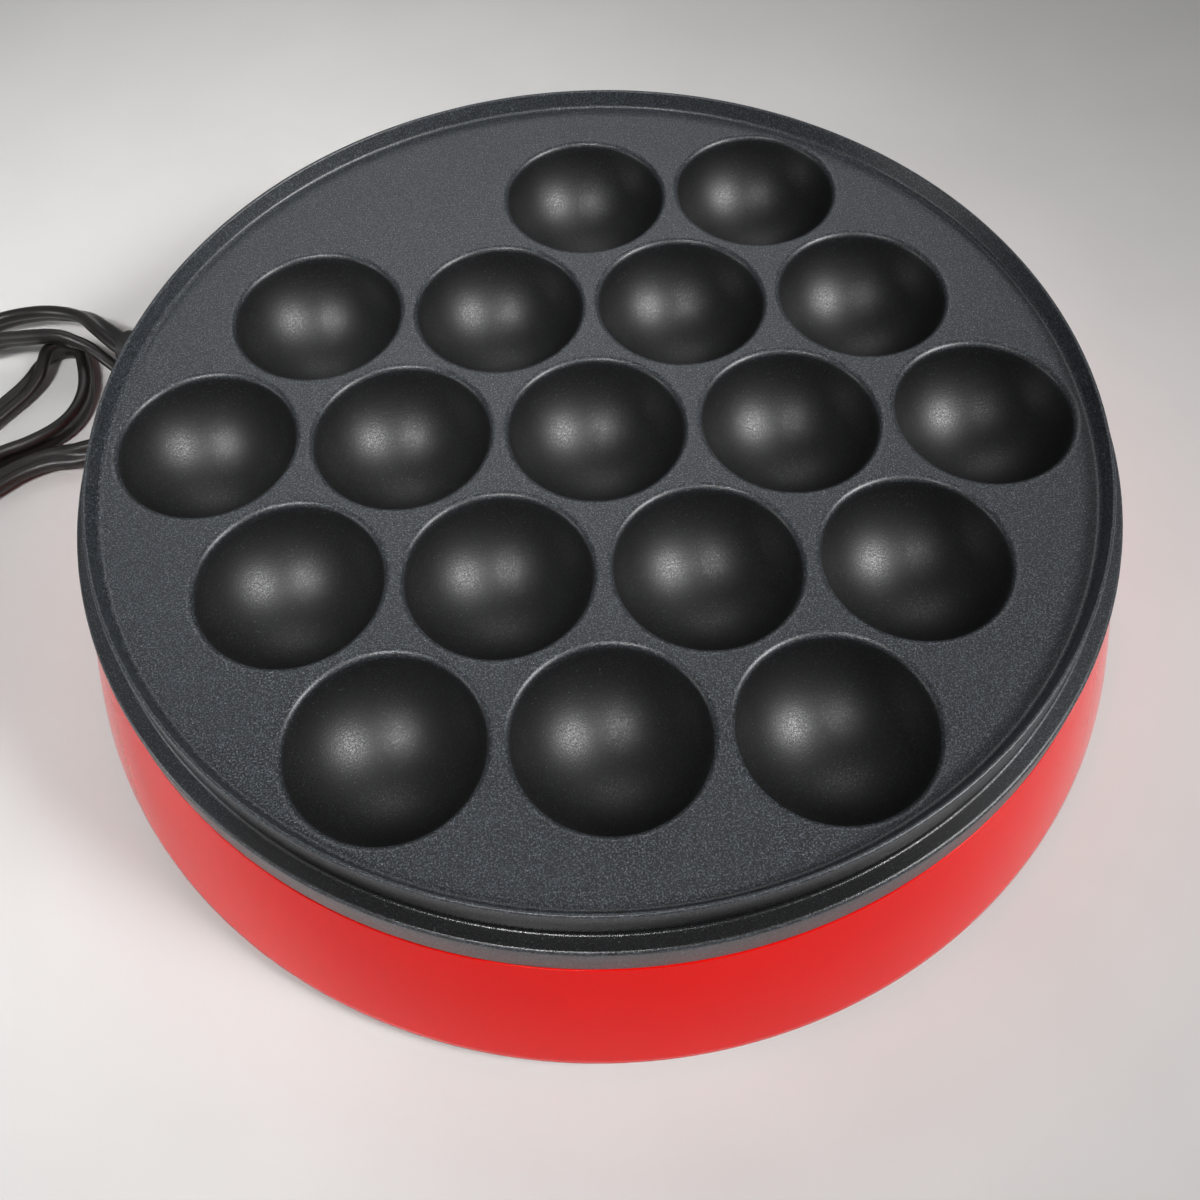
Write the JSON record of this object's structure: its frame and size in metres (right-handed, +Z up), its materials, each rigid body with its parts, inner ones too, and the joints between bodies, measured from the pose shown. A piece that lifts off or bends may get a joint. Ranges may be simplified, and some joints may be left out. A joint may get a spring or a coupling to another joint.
{
  "type": "electric takoyaki maker",
  "caption": "Round electric table cooker whose lift-off cast plate has rows of half-round cups, on a flared glossy body with a bundled flat cord.",
  "frame": {"origin": "on the table, below the middle of the cooking plate", "axes": "+Z up, +X along the rows of cups to the right as seen from the front, +Y to the back"},
  "size_m": [0.3433, 0.3343, 0.0569],
  "materials": {
    "plate_coating": "cast aluminium under a charcoal non-stick coating with a fine sparkle, satin",
    "body_red": "injection-moulded red plastic, high gloss",
    "base_black": "heat-resistant black moulded plastic",
    "foot_rubber": "black rubber, matt",
    "plated_steel": "zinc-plated steel",
    "pan_steel": "aluminised steel sheet, bright",
    "heater_sheath": "steel sheath, darkened by heat",
    "ceramic": "steatite ceramic, unglazed",
    "tab_brass": "tinned brass tabs",
    "sensor_aluminium": "turned aluminium",
    "thermostat_body": "brown phenolic moulding",
    "fuse_sleeve": "woven glass-fibre sleeve",
    "block_plastic": "white heat-resistant moulding",
    "wire_red": "silicone-covered wire",
    "wire_white": "silicone-covered wire",
    "wire_black": "vinyl-covered core",
    "neon_glass": "clear glass with electrodes",
    "lens_amber": "translucent amber plastic",
    "cord_vinyl": "black vinyl, satin",
    "cord_rubber": "black moulded rubber",
    "tie_plastic": "black plastic-covered wire tie",
    "plug_plastic": "black moulded vinyl",
    "blade_brass": "nickel-plated brass blades"
  },
  "bodies": {
    "root": {"housing": "body_red", "base_cover": "base_black", "rubber_foot_1": "foot_rubber", "rubber_foot_2": "foot_rubber", "rubber_foot_3": "foot_rubber", "rubber_foot_4": "foot_rubber", "base_screws": "plated_steel", "reflector_pan": "pan_steel", "pan_screws": "plated_steel", "heating_element": "heater_sheath", "heater_insulators": "ceramic", "heater_terminals": "tab_brass", "heater_bracket_1": "plated_steel", "heater_bracket_2": "plated_steel", "heater_bracket_3": "plated_steel", "bracket_rivets": "plated_steel", "sensor_spring": "plated_steel", "sensor_bracket": "plated_steel", "sensor_rivets": "plated_steel", "thermal_fuse": "fuse_sleeve", "fuse_clip": "plated_steel", "terminal_block": "block_plastic", "terminal_screws": "tab_brass", "core_live": "wire_black", "core_neutral": "wire_white", "lead_live": "wire_red", "lead_neutral": "wire_white", "lead_sensor_to_fuse": "wire_red", "lead_fuse_to_heater": "wire_red", "lamp_lead_live": "wire_red", "lamp_lead_neutral": "wire_white", "neon_lamp": "neon_glass", "lamp_lens": "lens_amber", "cord_bushing": "cord_rubber", "cord_clamp": "base_black", "clamp_screws": "plated_steel", "cord_lead": "cord_vinyl", "cord_loop_small": "cord_vinyl", "cord_loop_large": "cord_vinyl", "cord_hank": "cord_vinyl", "hank_tie": "tie_plastic", "cord_tail": "cord_vinyl", "plug_body": "plug_plastic", "plug_blades": "blade_brass"},
    "plate": {"cooking_plate": "plate_coating"},
    "sensor": {"sensor_cap": "sensor_aluminium", "thermostat": "thermostat_body"}
  },
  "joints": [
    {"name": "plate_lift", "type": "slide", "parent": "root", "child": "plate", "axis": [0, 0, 1], "range_m": [0, 0.06]},
    {"name": "sensor_plunge", "type": "slide", "parent": "root", "child": "sensor", "axis": [0, 0, 1], "range_m": [-0.0015, 0], "stiffness_N_per_m": 400, "springref_m": 0.001, "deforming": ["sensor_spring"]}
  ]
}
